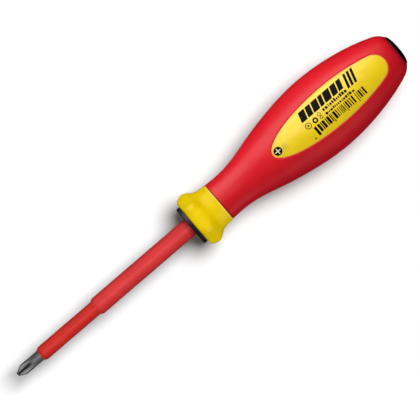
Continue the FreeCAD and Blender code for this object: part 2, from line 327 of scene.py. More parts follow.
class Handle:
    """The round grip's outer surface and the teardrop outline of its window."""

    SHOULDER = 3.9 * MM              # length of the rear end where the grip turns in
    SHOULDER_SHARES = (0.02, 0.12, 0.25, 0.42, 0.65)
    LONG_STATIONS = 14
    ARC_STEPS = 60

    def __init__(self, sizes):
        self.edge = sizes.edge
        tree = node_tree_of("grip_shell")
        front = GRIP_HIGH.x - self.edge
        shoulder = GRIP_LOW.x + self.SHOULDER
        places = [GRIP_LOW.x + self.SHOULDER * share for share in self.SHOULDER_SHARES]
        places += steps(shoulder, front, self.LONG_STATIONS)
        radii = [radius_of(tree, x, math.pi) for x in places]
        self.radius = SmoothCurve([GRIP_LOW.x] + places, [CAP_HIGH.y] + radii)
        self.front = PLATE_HIGH.x
        self.back = PLATE_LOW.x
        self.half_width = PLATE_HIGH.y
        self.widest = self.front + (self.back - self.front) * sizes.plate_widest
        self.path = self.half_outline(sizes.plate_back_radius)
        self.lengths = [0.0]
        for before, after in zip(self.path, self.path[1:]):
            self.lengths.append(self.lengths[-1] + (after - before).length)

    def half_outline(self, end_radius):
        """One side of the window, from its round rear end to its narrow front end."""
        end_x = self.back + end_radius
        run = self.widest - end_x
        side = run ** 2 + self.half_width ** 2 - end_radius ** 2
        side /= 2 * (self.half_width - end_radius)
        turn = math.asin(run / (side - end_radius))
        path = []
        for angle in steps(math.pi, math.pi / 2 + turn, self.ARC_STEPS):
            path.append(Vector((end_x + end_radius * math.cos(angle), end_radius * math.sin(angle))))
        for angle in steps(turn, 0, self.ARC_STEPS)[1:]:
            path.append(Vector((self.widest - side * math.sin(angle),
                                self.half_width - side * (1 - math.cos(angle)))))
        for angle in steps(math.pi / 2, 0, 2 * self.ARC_STEPS)[1:]:
            path.append(Vector((self.widest + (self.front - self.widest) * math.cos(angle),
                                self.half_width * math.sin(angle))))
        return path

    def outline(self, share):
        """A point of the outline and its outward direction, in plan, at a share of one side."""
        target = share * self.lengths[-1]
        i = 0
        while i < len(self.path) - 2 and self.lengths[i + 1] < target:
            i += 1
        gap = self.lengths[i + 1] - self.lengths[i]
        point = self.path[i].lerp(self.path[i + 1], (target - self.lengths[i]) / gap)
        if share < 1e-6:
            return point, Vector((-1, 0))
        if share > 1 - 1e-6:
            return point, Vector((1, 0))
        along = self.path[min(i + 2, len(self.path) - 1)] - self.path[max(i - 1, 0)]
        return point, Vector((-along.y, along.x)).normalized()

    def on_top(self, x, y, lift=0.0):
        """The point over (x, y) that stands a lift above the grip's surface."""
        radius = self.radius(x)
        angle = math.asin(max(-1, min(1, y / radius)))
        slope = (self.radius(x + self.edge) - self.radius(x - self.edge)) / (2 * self.edge)
        out = Vector((-slope, math.sin(angle), math.cos(angle))).normalized()
        return around(x, radius, angle) + out * lift

    def edge_point(self, share, mirrored, offset, depth):
        """A point near the outline, moved outwards in plan and down into the handle."""
        point, out = self.outline(share)
        point = point + out * offset
        y = -point.y if mirrored else point.y
        return self.on_top(point.x, y, -depth)

    def edge_ring(self, rays, offset, depth):
        """Points once round the window, moved outwards in plan and down into the handle."""
        return [self.edge_point(share, flip, offset, depth) for share, flip in rays]

    def cover(self, plan, lift):
        """Points over spots in plan, at a lift above the grip's surface."""
        return [self.on_top(spot.x, spot.y, lift) for spot in plan]


def side_shares(counts, splits):
    """Shares of one side of the window: even runs between the split places."""
    shares = []
    for count, start, end in zip(counts, splits, splits[1:]):
        shares += steps(start, end, count)[:-1]
    return shares + [splits[-1]]


def rays_round_window(shares):
    """Each ray's share and side, once round the window, starting at its rear end."""
    plain = [(share, False) for share in shares]
    mirrored = [(share, True) for share in reversed(shares[1:-1])]
    return plain + mirrored


# ---------------------------------------------------------------- pieces

# how many faces go once round a piece
SLEEVE_SIDES = 96
RING_SIDES = 144
COLLAR_SIDES = 288
BADGE_SIDES = 64
CAP_SIDES = 96


def build_sleeve(name, high, low_x, bore, sizes, material):
    """A sleeve with a cone at its front end and soft edges."""
    radius = high.y
    lip = 0.12 * MM
    shoulder_edge, lip_edge = 0.3 * MM, 0.08 * MM
    longest = 2.5 * MM
    outline = round_corners([
        (low_x, bore), (low_x, radius), (high.x - sizes.taper, radius),
        (high.x, bore + lip), (high.x, bore), (low_x, bore),
    ], [0, shoulder_edge, lip_edge, 0])
    outline = densify(outline[:-1], longest)
    return add_object(name, lathe(outline, SLEEVE_SIDES, looped=True), material)


def build_ring(material):
    """The nose ring: a thin washer with rounded rims and a slightly dished front."""
    front, back = RING_HIGH.x, RING_LOW.x
    outer, bore = RING_HIGH.y, OUTER_HIGH.y
    dish_x = front - 0.12 * MM
    land, slope, lip = 1.1 * MM, 0.4 * MM, 0.5 * MM
    back_edge, front_edge, soft = 0.25 * MM, 0.42 * MM, 0.2 * MM
    longest = 1.2 * MM
    outline = round_corners([
        (back, bore), (back, outer), (front, outer),
        (front, outer - land), (dish_x, outer - land - slope),
        (dish_x, bore + lip), (front, bore), (back, bore),
    ], [back_edge, front_edge, soft, soft, soft, 0])
    outline = densify(outline[:-1], longest)
    return add_object("nose_washer", lathe(outline, RING_SIDES, looped=True), material)


def polygon_radius(angle, sides, flat, corner_radius):
    """The distance to a polygon with rounded corners, at an angle from a flat's middle."""
    half_step = math.pi / sides
    turn = abs((angle + half_step) % (2 * half_step) - half_step)
    inner = flat - corner_radius
    if turn <= math.atan2(inner * math.tan(half_step), flat):
        return flat / math.cos(turn)
    centre = inner / math.cos(half_step)
    lean = half_step - turn
    return centre * math.cos(lean) + math.sqrt(corner_radius ** 2 - (centre * math.sin(lean)) ** 2)


def build_collar(material):
    """The guard collar: a six-sided flange that runs out into a round neck."""
    sides = 6
    corner_angle = math.pi / 2
    nose = 1.4 * MM                  # length of the front end, which has closer rings
    foot = 0.25 * MM                 # radius of the edge next to the grip
    bore = 5.0 * MM
    seat = RING_HIGH.y - 0.6 * MM    # on the front face, hidden by the nose ring
    sharpest = 0.6 * MM              # least radius of a corner
    roundest = 0.995                 # its most, as a share of the flat's distance
    tree = node_tree_of("guard_collar")
    front, back = COLLAR_HIGH.x, GRIP_HIGH.x
    shifts = (0.02, 0.25, 0.7, 1.4, 2.3, 3.4, 4.6, 5.8, 7.0, 8.2, 9.4, 10.6)
    stations = [back + 0.05 * MM] + [front - shift * MM for shift in reversed(shifts)]
    flats = SmoothCurve(stations, [radius_of(tree, x, 0) for x in stations])
    corners = SmoothCurve(stations, [radius_of(tree, x, corner_angle) for x in stations])
    widen = 1 / math.cos(math.pi / sides)
    angles = full_turn(COLLAR_SIDES)
    fine = [front - nose * (1 - math.cos(share * math.pi / 2)) for share in steps(0, 1, 12)]
    fine += steps(front - nose, back + foot, 56)[1:]
    rings = []
    for x in fine:
        flat = flats(x)
        corner_radius = (widen * flat - corners(x)) / (widen - 1)
        corner_radius = max(sharpest, min(flat * roundest, corner_radius))
        rings.append([around(x, polygon_radius(a, sides, flat, corner_radius), a) for a in angles])
    neck = flats(back + foot)
    for along, inward in quarter(4):
        rings.append(hoop(back + foot * (1 - along), neck - foot * inward, angles))
    for x, radius in ((back, bore), (front, bore), (front, seat)):
        rings.append(hoop(x, radius, angles))
    return add_object("finger_guard", ring_solid(rings, looped=True), material, 60)


class GripMesh:
    """The soft grip: a star of rays from the window to the ends, with a rounded lip."""

    COUNTS = (60, 60, 60)            # rays on one side that end at the back, the seam, the front
    BETWEEN = 0.45                   # a share of one side whose ray ends at the seam
    RINGS = 36
    LIP_STEPS = 5
    WALL_DEPTH = 1.1 * MM            # of the middle ring in the window's wall
    FRONT_STRIP = 1.2 * MM           # length of the turned front end
    BACK_MARGIN = 1.7 * MM           # from the plate to where the turned rear end starts

    def __init__(self, handle, sizes):
        self.handle = handle
        self.depth = sizes.grip_depth
        self.front = GRIP_HIGH.x - self.FRONT_STRIP
        self.back = PLATE_LOW.x - self.BACK_MARGIN
        self.reach = math.pi * GRIP_HIGH.y
        self.centre_x = (PLATE_LOW.x + PLATE_HIGH.x) / 2
        self.bore = 6.25 * MM

    def unrolled(self, point):
        """A point of the surface as (x, distance round the belly)."""
        return Vector((point.x, math.atan2(point.y, point.z) * GRIP_HIGH.y))

    def limits(self, share):
        """How many times a ray must be stretched to meet the grip's end, and to meet the seam."""
        start = self.unrolled(self.handle.edge_point(share, False, self.handle.edge, 0))
        start.x -= self.centre_x
        end = self.front if start.x > 0 else self.back
        to_end = (end - self.centre_x) / start.x if abs(start.x) > 1e-9 else math.inf
        to_seam = self.reach / start.y if start.y > 1e-9 else math.inf
        return to_end, to_seam

    def split(self, low, high):
        """The share of the window's side whose ray meets a corner of the unrolled grip."""
        def past_end(share):
            to_end, to_seam = self.limits(share)
            return to_end < to_seam
        starts_at_end = past_end(low)
        for _ in range(40):
            middle = (low + high) / 2
            if past_end(middle) == starts_at_end:
                low = middle
            else:
                high = middle
        return (low + high) / 2

    def inner_radius(self, x):
        """The radius of the grip's inner surface at x."""
        return max(self.handle.radius(x) - self.depth, self.bore)

    def build(self, material):
        """Makes the rays' part of the mesh, opens its ends and adds the turned strips."""
        handle = self.handle
        first = self.split(0.0, self.BETWEEN)
        second = self.split(self.BETWEEN, 1.0)
        shares = side_shares(self.COUNTS, (0.0, first, second, 1.0))
        rays = rays_round_window(shares)
        edge = handle.edge
        lip = [(0.0, self.depth), (0.0, self.WALL_DEPTH)]
        lip += [(edge * (1 - math.sin(a)), edge * (1 - math.cos(a)))
                for a in steps(math.pi / 2, 0, self.LIP_STEPS)][:-1]
        outer = [handle.edge_ring(rays, offset, depth) for offset, depth in lip]
        inner, starts, ends = [], [], []
        middle = Vector((self.centre_x, 0))
        for share, flip in rays:
            start = self.unrolled(handle.edge_point(share, False, edge, 0))
            end = middle + (start - middle) * min(self.limits(share))
            side = -1 if flip else 1
            starts.append(Vector((start.x, start.y * side)))
            ends.append(Vector((end.x, end.y * side)))
        for level in steps(0, 1, self.RINGS):
            places = [a.lerp(b, level) for a, b in zip(starts, ends)]
            outer.append([around(p.x, handle.radius(p.x), p.y / GRIP_HIGH.y) for p in places])
            inner.append([around(p.x, self.inner_radius(p.x), p.y / GRIP_HIGH.y) for p in places])
        builder = ring_solid(outer + inner[::-1])
        foot, shelf = ([builder.verts.new(p) for p in ring] for ring in (outer[0], inner[0]))
        bridge(builder, foot, shelf)
        self.remove_end_walls(builder, len(outer[0]), len(outer))
        count_back, _, count_front = self.COUNTS
        angles = [p.y / GRIP_HIGH.y for p in ends[:len(shares)]]
        angles_back, angles_front = angles[:count_back + 1], angles[-1 - count_front:]
        self.add_strip(builder, angles_front, self.front_profile())
        self.add_strip(builder, angles_back, self.back_profile())
        return add_object("soft_grip", builder, material, 60)

    def remove_end_walls(self, builder, width, levels):
        """Takes out the band that joins the outer and the inner surface at the rays' far ends."""
        builder.verts.ensure_lookup_table()
        last = set(builder.verts[(levels - 1) * width:levels * width])
        first = set(builder.verts[levels * width:(levels + 1) * width])
        walls = [f for f in builder.faces
                 if len(last.intersection(f.verts)) == 2 and len(first.intersection(f.verts)) == 2]
        bmesh.ops.delete(builder, geom=walls, context="FACES_ONLY")

    def add_strip(self, builder, angles, profile):
        """A turned strip round one end, whose rings share the rays' angles."""
        one_side = sorted(angle for angle in angles if 1e-6 < angle < math.pi - 1e-6)
        full = [0.0] + one_side + [math.pi] + [-angle for angle in reversed(one_side)]
        rows = [[builder.verts.new(point) for point in hoop(x, radius, full)] for x, radius in profile]
        for first, second in zip(rows, rows[1:]):
            bridge(builder, first, second)

    def front_profile(self):
        """From the neck, round the front edge, to the inner surface."""
        radius = self.handle.radius
        edge = self.handle.edge
        tip = GRIP_HIGH.x
        profile = [(x, radius(x)) for x in steps(self.front, tip - edge, 4)]
        top = radius(tip - edge)
        profile += [(tip - edge * (1 - along), top - edge * inward) for along, inward in quarter(5)]
        return profile + [(tip, self.bore), (self.front, self.inner_radius(self.front))]

    def back_profile(self):
        """From the shoulder to the cap's rim and back along the inner surface."""
        radius = self.handle.radius
        tip = GRIP_LOW.x
        edge = 0.25 * MM
        rim = CAP_HIGH.y + 0.03 * MM     # just clear of the cap
        seat = tip + 1.2 * MM
        profile = [(x, radius(x)) for x in steps(self.back, tip + edge, 22)]
        last_x, last_radius = profile[-1]
        run, drop = last_x - tip, last_radius - rim
        profile += [(last_x - run * along, last_radius - drop * inward) for along, inward in quarter(5)]
        return profile + [(seat, rim), (self.back, self.inner_radius(self.back))]


def build_plate(handle, sizes, material, rim_material):
    """The label plate: a teardrop that follows the handle's curve, with a rounded edge."""
    rays = rays_round_window(steps(0, 1, 150))
    edge = 0.28 * MM
    gap = 0.02 * MM
    inset = gap + edge + 0.2 * MM    # how far in the orange rim reaches
    recess, depth = sizes.plate_recess, sizes.grip_depth
    rings = [handle.edge_ring(rays, -gap, depth)]
    for a in steps(math.pi / 2, 0, 5):
        inward = gap + edge * (1 - math.sin(a))
        rings.append(handle.edge_ring(rays, -inward, recess + edge * (1 - math.cos(a))))
    rim_count = len(rings) * len(rays)
    rings.append(handle.edge_ring(rays, -inset, recess))
    rim = []
    for share, flip in rays:
        point, out = handle.outline(share)
        point = point - out * inset
        rim.append(Vector((point.x, -point.y if flip else point.y)))
    middle = Vector(((PLATE_LOW.x + PLATE_HIGH.x) / 2, 0))
    for level in steps(0, 1, 26)[1:-1]:
        rings.append(handle.cover([spot.lerp(middle, level) for spot in rim], -recess))
    rings += [handle.cover([middle], -recess), handle.cover([middle], -depth)]
    for level in (0.75, 0.5, 0.25):
        rings.append(handle.cover([spot.lerp(middle, level) for spot in rim], -depth))
    builder = ring_solid(rings, looped=True)
    builder.verts.ensure_lookup_table()
    for vert in builder.verts[:rim_count]:
        for face in vert.link_faces:
            face.material_index = 1
    made = add_object("label_plate", builder, material, 60)
    made.data.materials.append(rim_material)
    return made


def build_badge_disc(handle, material):
    """The round screw-type badge, with a softened rim."""
    centre = Vector(((DISC_LOW.x + DISC_HIGH.x) / 2, 0))
    radius = (DISC_HIGH.x - DISC_LOW.x) / 2
    rim = 0.1 * MM
    foot = -0.5 * MM
    outline = [(radius * share, 0.0) for share in (0.3, 0.6, 0.85)]
    outline += [(radius - rim * (1 - math.sin(a)), rim * (math.cos(a) - 1))
                for a in steps(0, math.pi / 2, 4)]
    outline += [(radius, foot)]
    rings = [handle.cover([centre], 0)]
    for reach, lift in outline:
        circle = [centre + Vector((math.cos(a), math.sin(a))) * reach for a in full_turn(BADGE_SIDES)]
        rings.append(handle.cover(circle, lift))
    rings.append(handle.cover([centre], foot))
    return add_object("type_badge", ring_solid(rings), material)


def patch(builder, spot, across, along, top, bottom):
    """A thin closed tile. spot(u, v) gives plan places and top and bottom give points over them."""
    grid = [[spot(u, v) for u in steps(0, 1, across)] for v in steps(0, 1, along)]
    upper = [[builder.verts.new(top(p.x, p.y)) for p in row] for row in grid]
    lower = [[builder.verts.new(bottom(p.x, p.y)) for p in row] for row in grid]
    for layer in (upper, lower):
        for first, second in zip(layer, layer[1:]):
            bridge(builder, first, second, closed=False)
    for end in (0, -1):
        bridge(builder, upper[end], lower[end], closed=False)
        bridge(builder, [row[end] for row in upper], [row[end] for row in lower], closed=False)


def build_badge_cross(handle, material):
    """The pale cross on the badge: four arms round a square, slightly raised."""
    centre = Vector(((CROSS_LOW.x + CROSS_HIGH.x) / 2, 0))
    reach = (CROSS_HIGH.x - CROSS_LOW.x) / 2
    half = 0.2 * MM                  # half of an arm's width
    outline = []
    for i in range(4):
        turn = Matrix.Rotation(math.pi / 2 * i, 2)
        for corner in ((reach, -half), (reach, half), (half, half)):
            outline.append(centre + turn @ Vector(corner))
    builder = bmesh.new()
    layers = []
    for lift in (0.02 * MM, -0.1 * MM):
        layer = [builder.verts.new(point) for point in handle.cover(outline, lift)]
        builder.faces.new(layer[2::3])
        for i in range(0, 12, 3):
            builder.faces.new((layer[i], layer[i + 1], layer[i + 2], layer[i - 1]))
        layers.append(layer)
    bridge(builder, *layers)
    made = add_object("badge_mark", builder, material, 30)
    bevel = made.modifiers.new("soft edges", "BEVEL")
    bevel.width = 0.03 * MM
    bevel.segments = 2
    bevel.limit_method = "ANGLE"
    return made


def build_cap(material):
    """The rear end cap: a full dome with a flattened middle, and its stem."""
    rim_x = GRIP_LOW.x
    radius = CAP_HIGH.y
    rise = rim_x - CAP_LOW.x
    stem = 3.6 * MM
    seat = rim_x + 2.7 * MM
    fullness = 2.2                   # 2 is an ellipse, and more is flatter in the middle
    outline = [(CAP_HIGH.x, 0.0), (CAP_HIGH.x, stem), (seat, stem), (seat, radius), (rim_x, radius)]
    for angle in steps(0, math.pi / 2, 18)[1:-1]:
        out = math.cos(angle)
        outline.append((rim_x - rise * math.sqrt(1 - out ** fullness), radius * out))
    outline.append((CAP_LOW.x, 0.0))
    return add_object("end_button", lathe(outline, CAP_SIDES), material)


# ---------------------------------------------------------------- printing

LEAN = 0.3                       # how far slanted marks lean back for each millimetre of height


class Printing:
    """Thin marks of ink on the label plate, placed in millimetres."""

    CELL_LENGTH = 2.0                # largest face, so that marks follow the plate's curve
    CELL_WIDTH = 0.6

    def __init__(self, handle, sizes):
        self.handle = handle
        self.recess = sizes.plate_recess
        self.ink = sizes.ink
        self.builder = bmesh.new()

    def top(self, x, y):
        return self.handle.on_top(x, y, self.ink - self.recess)

    def foot(self, x, y):
        return self.handle.on_top(x, y, -self.ink - self.recess)

    def tile(self, start, end, low, high, lean=0.0):
        """A four-sided mark from start to end along the handle and from low to high across it."""
        def spot(u, v):
            y = low + (high - low) * v
            x = start + (end - start) * u + lean * (y - high)
            return Vector((x * MM, y * MM))
        across = max(1, math.ceil(abs(end - start) / self.CELL_LENGTH))
        along = max(1, math.ceil(abs(high - low) / self.CELL_WIDTH))
        patch(self.builder, spot, across, along, self.top, self.foot)

    def ring(self, x, y, radius, width, sides=32):
        """A ring-shaped mark, or one with corners when it has few sides."""
        def spot(u, v):
            angle = 2 * math.pi * u
            reach = radius - width * v
            return Vector(((x + reach * math.cos(angle)) * MM, (y + reach * math.sin(angle)) * MM))
        patch(self.builder, spot, sides, 1, self.top, self.foot)

    def finish(self, name, material):
        return add_object(name, self.builder, material, 30)


def print_band(handle, sizes, material):
    """The bold row of slanted blocks across the upper half of the plate."""
    marks = Printing(handle, sizes)
    gap = 0.45
    place_x = -53.4
    for width in (2.6, 2.2, 2.7, 1.7, 2.9, 2.4, 1.9):
        marks.tile(place_x, place_x - width, -5.6, -1.9, LEAN)
        place_x -= width + gap
    for bar_x in (-73.6, -75.2, -76.8):
        marks.tile(bar_x, bar_x - 1.0, -5.7, -0.6, LEAN)
    return marks.finish("print_band", material)


def print_signs(handle, sizes, material):
    """The small marks and dashed lines in the middle of the plate."""
    marks = Printing(handle, sizes)
    marks.ring(-54.5, 0.25, 1.2, 0.26)
    marks.tile(-54.2, -54.8, -0.1, 0.6)
    marks.ring(-57.6, 0.3, 1.15, 0.62, 6)
    marks.ring(-60.0, -0.5, 0.8, 0.24, 4)
    marks.ring(-60.0, 0.85, 0.62, 0.2)
    chooser = random.Random(5)
    for start, end, low, high in ((-61.9, -72.8, -1.5, -0.2), (-61.9, -75.0, 0.35, 1.45)):
        place_x = start
        while place_x > end:
            width = chooser.uniform(0.35, 0.95)
            trim = chooser.uniform(0.0, 0.45)
            marks.tile(place_x, place_x - width, low + trim, high)
            place_x -= width + chooser.uniform(0.24, 0.42)
    marks.ring(-53.7, 5.3, 0.5, 0.34, 3)
    return marks.finish("print_signs", material)


def print_bars(handle, sizes, material):
    """The block of upright bars on the lower half of the plate. They encode nothing."""
    marks = Printing(handle, sizes)
    chooser = random.Random(11)
    for start, end in ((-55.4, -73.3), (-74.0, -77.5)):
        place_x = start
        count = 0
        while place_x > end:
            width = chooser.choice((0.3, 0.42, 0.66, 0.95))
            foot = 4.9 + (0.6 if count % 7 == 0 else 0.0)
            marks.tile(place_x, place_x - width, 1.95, foot)
            place_x -= width + chooser.choice((0.26, 0.36, 0.5))
            count += 1
    return marks.finish("print_bars", material)


# ---------------------------------------------------------------- shaders

def both_ways(operation):
    """An operator of a wire and its reflected form, each as one maths node."""
    def plain(wire, other):
        return wire.maths(operation, wire, other)

    def reflected(wire, other):
        return wire.maths(operation, other, wire)

    return plain, reflected


class Wire:
    """A shader socket that Python arithmetic can be written on."""

    def __init__(self, shader, made, output=0):
        self.shader = shader
        self.made = made
        self.socket = made.outputs[output]

    def output(self, name):
        return Wire(self.shader, self.made, name)

    def maths(self, operation, first, second=0.0):
        return self.shader.node("ShaderNodeMath", {"operation": operation}, {0: first, 1: second})

    __add__, __radd__ = both_ways("ADD")
    __sub__, __rsub__ = both_ways("SUBTRACT")
    __mul__, __rmul__ = both_ways("MULTIPLY")
    __truediv__, __rtruediv__ = both_ways("DIVIDE")
    __pow__, __rpow__ = both_ways("POWER")

    def larger(self, other):
        return self.maths("MAXIMUM", self, other)

    def smaller(self, other):
        return self.maths("MINIMUM", self, other)

    def size(self):
        return self.maths("ABSOLUTE", self)

    def fade(self, start, end):
        """0 before start, 1 after end and a smooth rise between. Start may be above end."""
        return self.shader.node("ShaderNodeMapRange", {"interpolation_type": "SMOOTHSTEP"}, {
            "Value": self, "From Min": start, "From Max": end, "To Min": 0.0, "To Max": 1.0})


class Shader:
    """A procedural material, written a node at a time."""

    def __init__(self, name):
        self.material = bpy.data.materials.new(name)
        self.material.use_nodes = True
        self.tree = self.material.node_tree
        self.tree.nodes.clear()

    def node(self, kind, settings=None, sockets=None, output=0):
        """Any node: its settings first, then its sockets as values or links."""
        made = self.tree.nodes.new(kind)
        for key, value in (settings or {}).items():
            setattr(made, key, value)
        for key, value in (sockets or {}).items():
            if isinstance(value, Wire):
                self.tree.links.new(value.socket, made.inputs[key])
            else:
                made.inputs[key].default_value = value
        return Wire(self, made, output)

    def position(self):
        """The place on the object, in metres in the shared frame."""
        return self.node("ShaderNodeTexCoord", output="Object")

    def parts(self, vector):
        split = self.node("ShaderNodeSeparateXYZ", sockets={0: vector})
        return split, split.output(1), split.output(2)

    def stretched(self, scale):
        """The place, scaled along each axis."""
        return self.node("ShaderNodeVectorMath", {"operation": "MULTIPLY"},
                         {0: self.position(), 1: scale})

    def noise(self, scale, detail=2.0, roughness=0.5, vector=None):
        """Cloudy noise between 0 and 1. The scale is in features per metre."""
        return self.node("ShaderNodeTexNoise", sockets={
            "Vector": vector or self.position(), "Scale": scale, "Detail": detail,
            "Roughness": roughness})

    def cells(self, scale):
        """The distance to the nearest of scattered points."""
        return self.node("ShaderNodeTexVoronoi", sockets={"Vector": self.position(), "Scale": scale})

    def mix(self, factor, first, second):
        """Mixes two colours by a factor."""
        first, second = (value if isinstance(value, Wire) else tuple(value)[:3] + (1.0,)
                         for value in (first, second))
        return self.node("ShaderNodeMix", {"data_type": "RGBA"}, {0: factor, 6: first, 7: second},
                         output=2)

    def tones(self, mask, value, low, high):
        """A colour that goes from one tone to another where a mask rises."""
        return self.mix(mask, toned(value, low), toned(value, high))

    def bump(self, height, strength, distance):
        return self.node("ShaderNodeBump", sockets={
            "Height": height, "Strength": strength, "Distance": distance})

    def finish(self, **sockets):
        """Ends the material with a surface whose sockets are given by name."""
        named = {key.replace("_", " "): value for key, value in sockets.items()}
        surface = self.node("ShaderNodeBsdfPrincipled", sockets=named)
        end = self.tree.nodes.new("ShaderNodeOutputMaterial")
        self.tree.links.new(surface.socket, end.inputs["Surface"])
        return self.material


def toned(value, share):
    """A colour made lighter or darker."""
    return tuple(max(0.0, min(1.0, part * share)) for part in value)


def scuffs(shader, along, across, low, high):
    """Sparse fine scratches that run along the tool."""
    lines = shader.noise(1.0, 3.0, 0.6, shader.stretched((along, across, across)))
    return lines.fade(low, high)


# ---------------------------------------------------------------- finishes

TIP_RADIUS = 0.64 * MM           # of the tip's cone, at its very end
TIP_SLOPE = 0.4986               # how fast the cone widens


def steel_finish(colours):
    """Satin steel with fine turning lines, pale ground flutes and wings left black from hardening."""
    shader = Shader("satin steel")
    x, y, z = shader.parts(shader.position())
    tip_x = BLADE_HIGH.x
    lines = shader.noise(1.0, 3.0, 0.55, shader.stretched((5200.0, 320.0, 320.0)))
    clouds = shader.noise(700.0, 3.0, 0.6)
    reach = (y * y + z * z) ** 0.5
    gap = ((tip_x - x) * TIP_SLOPE + TIP_RADIUS).smaller(BLADE_HIGH.z) - reach
    ground = x.fade(tip_x - 7.5 * MM, tip_x - 5.5 * MM)
    narrow = y.size().smaller(z.size()).fade(0.60 * MM, 0.40 * MM)
    flank = y.size().fade(1.10 * MM, 1.40 * MM)
    wing = gap.fade(0.42 * MM, 0.20 * MM) * narrow.larger(flank) * ground
    point = x.fade(tip_x - 1.2 * MM, tip_x - 0.3 * MM)
    value = colours.steel
    base = shader.tones(lines.fade(0.3, 0.75), value, 0.85, 1.15)
    base = shader.mix(clouds.fade(0.5, 0.8) * 0.4, base, toned(value, 0.55))
    base = shader.mix(ground * (0.75 + lines * 0.25), base, toned(value, 1.7))
    base = shader.mix(wing * (0.85 + clouds * 0.15), base, toned(value, 0.06))
    base = shader.mix(point * 0.6, base, toned(value, 0.25))
    rough = 0.42 + lines * 0.12 + clouds * 0.08 + wing * 0.12
    height = lines * 0.7 + clouds * 0.3
    return shader.finish(Base_Color=base, Metallic=wing * 0.6 + 0.3, Roughness=rough,
                         Normal=shader.bump(height, 0.3, 0.03 * MM))


def core_finish(colours):
    """Dark glass-filled nylon, for the hidden core."""
    shader = Shader("core nylon")
    grain = shader.noise(1500.0, 4.0, 0.6)
    base = shader.tones(grain.fade(0.3, 0.7), colours.core_grey, 0.8, 1.3)
    return shader.finish(Base_Color=base, Roughness=0.45 + grain * 0.2,
                         Normal=shader.bump(grain, 0.3, 0.03 * MM))


def sleeve_finish(name, value, joint_x, joint_shade, gloss):
    """Smooth red insulation: a faint mottle, fine scuffs along the shaft and painted shade just in
    front of the joint.
    """
    shader = Shader(name)
    x = shader.parts(shader.position())[0]
    joint = x.fade(joint_x + 2.6 * MM, joint_x + 0.2 * MM)
    mottle = shader.noise(95.0, 3.0, 0.55)
    peel = shader.noise(1100.0, 2.0, 0.5)
    wear = scuffs(shader, 60.0, 1500.0, 0.66, 0.8)
    base = shader.tones(mottle.fade(0.3, 0.7), value, 0.92, 1.06)
    base = shader.mix(peel.fade(0.4, 0.7) * 0.25, base, toned(value, 0.86))
    base = shader.mix(wear * 0.3, base, (0.80, 0.22, 0.20))
    # painted contact shade: darker just in front of the joint, as strong as joint_shade
    base = shader.mix(joint * (joint_shade + mottle * joint_shade), base, toned(value, 0.2))
    rough = 0.42 + mottle * 0.08 + wear * 0.18
    return shader.finish(Base_Color=base, Roughness=rough, Specular_IOR_Level=gloss,
                         Normal=shader.bump(peel + wear * 0.4, 0.16, 0.05 * MM))


def collar_finish(colours):
    """Glossy yellow nylon with a faint mottle, rubbed corners and a painted highlight along the rear
    edge at the joint.
    """
    shader = Shader("collar nylon")
    x, y, z = shader.parts(shader.position())
    mottle = shader.noise(160.0, 3.0, 0.55)
    peel = shader.noise(900.0, 2.0, 0.5)
    reach = (y * y + z * z) ** 0.5
    corner = reach.fade(COLLAR_HIGH.y - 0.35 * MM, COLLAR_HIGH.y)
    joint = x.fade(GRIP_HIGH.x + 0.7 * MM, GRIP_HIGH.x + 0.2 * MM)
    value = colours.collar_yellow
    base = shader.tones(mottle.fade(0.3, 0.7), value, 0.95, 1.04)
    base = shader.mix(corner * 0.3, base, (0.95, 0.72, 0.12))
    # painted highlight: a pale line along the collar's rear edge, next to the grip
    base = shader.mix(joint * (0.4 + mottle * 0.4), base, (1.0, 0.76, 0.18))
    rough = 0.3 + mottle * 0.08 + corner * 0.15
    return shader.finish(Base_Color=base, Roughness=rough, Specular_IOR_Level=0.2,
                         Subsurface_Weight=0.12, Subsurface_Radius=(0.9, 0.5, 0.08),
                         Subsurface_Scale=0.9 * MM,
                         Normal=shader.bump(peel, 0.10, 0.05 * MM))


def grip_finish(colours):
    """Soft red rubber: a fine leathery grain, rubbed lighter patches and painted shade at the front
    joint and along the rear rim.
    """
    shader = Shader("grip rubber")
    mottle = shader.noise(70.0, 3.0, 0.55)
    grain = shader.cells(3200.0)
    fine = shader.noise(2600.0, 2.0, 0.5)
    rubbed = shader.noise(38.0, 4.0, 0.62).fade(0.55, 0.8)
    x = shader.parts(shader.position())[0]
    front_joint = x.fade(GRIP_HIGH.x - 0.9 * MM, GRIP_HIGH.x - 0.1 * MM)
    joint = front_joint.larger(x.fade(GRIP_LOW.x + 1.3 * MM, GRIP_LOW.x))
    value = colours.grip_red
    base = shader.tones(mottle.fade(0.3, 0.7), value, 0.93, 1.05)
    base = shader.mix(fine.fade(0.45, 0.75) * 0.2, base, toned(value, 0.82))
    base = shader.mix(rubbed * 0.12, base, (0.78, 0.05, 0.06))
    # painted shade: darker at the front joint with the collar and along the rear rim by the cap
    base = shader.mix(joint * (0.35 + mottle * 0.45), base, toned(value, 0.2))
    rough = 0.34 + mottle * 0.05 + grain * 0.06 - rubbed * 0.04
    return shader.finish(Base_Color=base, Roughness=rough, Specular_IOR_Level=0.5,
                         Normal=shader.bump(grain * 0.5 + fine * 0.5, 0.10, 0.04 * MM))


def rim_finish(colours):
    """The plate's edge, tinted orange."""
    shader = Shader("plate rim")
    bleed = shader.noise(1300.0, 3.0, 0.6)
    value = colours.plate_yellow
    base = shader.mix(bleed.fade(0.3, 0.7), (value[0] * 0.98, value[1] * 0.62, 0.07),
                      (value[0], value[1] * 0.74, 0.10))
    return shader.finish(Base_Color=base, Roughness=0.36 + bleed * 0.1, Specular_IOR_Level=0.45,
                         Normal=shader.bump(bleed, 0.08, 0.05 * MM))


